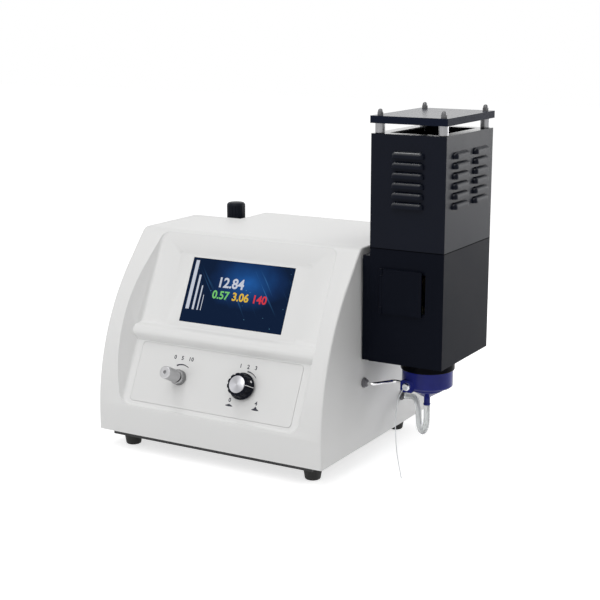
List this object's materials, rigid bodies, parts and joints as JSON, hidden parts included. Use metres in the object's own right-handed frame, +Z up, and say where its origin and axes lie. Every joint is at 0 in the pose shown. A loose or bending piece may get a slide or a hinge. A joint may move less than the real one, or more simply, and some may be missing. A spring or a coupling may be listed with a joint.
{
  "type": "flame photometer",
  "caption": "Bench flame photometer: bowed case with a sunk touch screen, gas controls, an air regulator and a louvred burner chimney.",
  "frame": {"origin": "bottom centre of the instrument's box, on the bench, without the loose hose and capillary", "axes": "+Z up, front faces -Y, chimney on the +X side"},
  "size_m": [0.4538, 0.3256, 0.4558],
  "materials": {
    "shell": "fine texture, off-white",
    "tray": "black powder coat",
    "foot": "matt",
    "screw": "zinc bright",
    "rear_sheet": "satin light grey",
    "control_sheet": "satin off-white",
    "screen": "dark, backlit",
    "module": "black",
    "valve_metal": "turned",
    "fine_knob_metal": "knurled",
    "cock_brass": "turned",
    "gas_knob_black": "fine texture, black",
    "gas_knob_silver": "spun",
    "pipe_copper": "drawn",
    "bracket_zinc": "zinc plated",
    "regulator_cast": "light grey",
    "bowl_clear": "clear",
    "regulator_black": "black",
    "gauge_black": "black rim, white dial",
    "gauge_pointer": "matt",
    "push_fitting": "blue release ring",
    "air_hose": "blue tube",
    "wall_fitting_grey": "dark grey",
    "air_tube_chrome": "polished",
    "inlet_black": "black",
    "board_green": "solder mask",
    "spacer_brass": "plated",
    "supply_case": "folded sheet",
    "optic_black": "black anodised",
    "chimney_black": "satin black",
    "hardware": "bright",
    "igniter_white": "glazed ceramic",
    "ring_dark": "dark blue, translucent",
    "chamber_blue": "deep blue, translucent",
    "hose_clear": "clear",
    "capillary_white": "milky"
  },
  "bodies": {
    "case": {"case_shell": "shell", "base_plate": "tray", "rubber_feet": "foot", "case_screws": "screw", "rear_panel": "rear_sheet", "control_plate": "control_sheet", "display_glass": "screen", "display_module": "module", "fine_valve_body": "valve_metal", "fine_valve_nut": "valve_metal", "gas_valve_body": "cock_brass", "gas_link_pipe": "pipe_copper", "gas_supply_pipe": "pipe_copper", "gas_burner_pipe": "pipe_copper", "lpg_inlet": "cock_brass", "regulator_bracket": "bracket_zinc", "regulator_body": "regulator_cast", "regulator_bowl": "bowl_clear", "gauge_case": "gauge_black", "air_inlet_fitting": "push_fitting", "air_outlet_fitting": "bracket_zinc", "air_pipe": "air_hose", "wall_fittings": "wall_fitting_grey", "air_tube": "air_tube_chrome", "mains_inlet": "inlet_black", "switch_frame": "inlet_black", "main_board": "board_green", "board_standoffs": "spacer_brass", "power_supply": "supply_case", "optic_block": "optic_black", "light_barrel": "optic_black", "mounting_plate": "chimney_black", "burner_housing": "chimney_black", "flap_pin": "valve_metal", "chimney_hood": "chimney_black", "hood_standoffs": "hardware", "lid_nuts": "hardware", "chimney_lid": "chimney_black", "burner_head": "valve_metal", "flame_shield": "valve_metal", "igniter": "igniter_white", "mixing_chamber": "ring_dark", "chamber_base": "chamber_blue", "nebuliser": "hardware", "sample_capillary": "capillary_white", "drain_hose": "hose_clear"},
    "needle": {"fine_needle": "valve_metal"},
    "fine_knob": {"fine_knob": "fine_knob_metal"},
    "gas_plug": {"gas_plug": "valve_metal"},
    "gas_knob": {"gas_spindle": "valve_metal", "gas_knob": "gas_knob_black", "gas_knob_disc": "gas_knob_silver"},
    "inspection_flap": {"inspection_flap": "chimney_black"},
    "power_rocker": {"power_rocker": "inlet_black"},
    "fuse_drawer": {"fuse_drawer": "inlet_black"},
    "regulator_spindle": {"regulator_spindle": "valve_metal"},
    "regulator_knob": {"regulator_knob": "regulator_black"},
    "gauge_needle": {"gauge_needle": "gauge_pointer"},
    "drain_cock": {"drain_cock": "regulator_black"}
  },
  "joints": [
    {"name": "needle_slide", "type": "slide", "parent": "case", "child": "needle", "axis": [0, -0.8999, 0.4362], "range_m": [-0.0015, 0.0015]},
    {"name": "fine_knob_turn", "type": "hinge", "parent": "needle", "child": "fine_knob", "pos_m": [-0.1106, -0.12648, 0.10553], "axis": [0, -0.8999, 0.4362], "range_deg": [-722, 722]},
    {"name": "gas_turn", "type": "hinge", "parent": "case", "child": "gas_plug", "pos_m": [-0.013, -0.1257, 0.10715], "axis": [0, -0.8999, 0.4362], "range_deg": [0, 210]},
    {"name": "gas_push", "type": "slide", "parent": "gas_plug", "child": "gas_knob", "axis": [0, -0.8999, 0.4362], "range_m": [-0.003, 0], "stiffness_N_per_m": 600, "springref_m": 0.002},
    {"name": "flap_hinge", "type": "hinge", "parent": "case", "child": "inspection_flap", "pos_m": [0.1385, -0.0459, 0.233], "axis": [0, 0, -1], "range_deg": [0, 100]},
    {"name": "power_switch", "type": "hinge", "parent": "case", "child": "power_rocker", "pos_m": [0.0131, 0.143, 0.072], "axis": [1, 0, 0], "range_deg": [0, 18]},
    {"name": "fuse_drawer_slide", "type": "slide", "parent": "case", "child": "fuse_drawer", "axis": [0, 1, 0], "range_m": [0, 0.012]},
    {"name": "pressure_turn", "type": "hinge", "parent": "case", "child": "regulator_spindle", "pos_m": [-0.1739, 0.111, 0.246], "axis": [0, 0, 1], "range_deg": [-720, 720]},
    {"name": "pressure_unlock", "type": "slide", "parent": "regulator_spindle", "child": "regulator_knob", "axis": [0, 0, 1], "range_m": [0, 0.003]},
    {"name": "gauge_turn", "type": "hinge", "parent": "case", "child": "gauge_needle", "pos_m": [-0.1739, 0.145, 0.23], "axis": [0, -1, 0], "range_deg": [0, 270], "stiffness_Nm_per_rad": 0.0002, "springref_deg": -11.46},
    {"name": "drain_push", "type": "slide", "parent": "case", "child": "drain_cock", "axis": [0, 0, 1], "range_m": [0, 0.002], "stiffness_N_per_m": 200, "springref_m": -0.003}
  ],
  "couplings": [
    {"joint": "fine_knob_turn", "follows": "needle_slide", "rad_per_m": 8377.6}
  ]
}
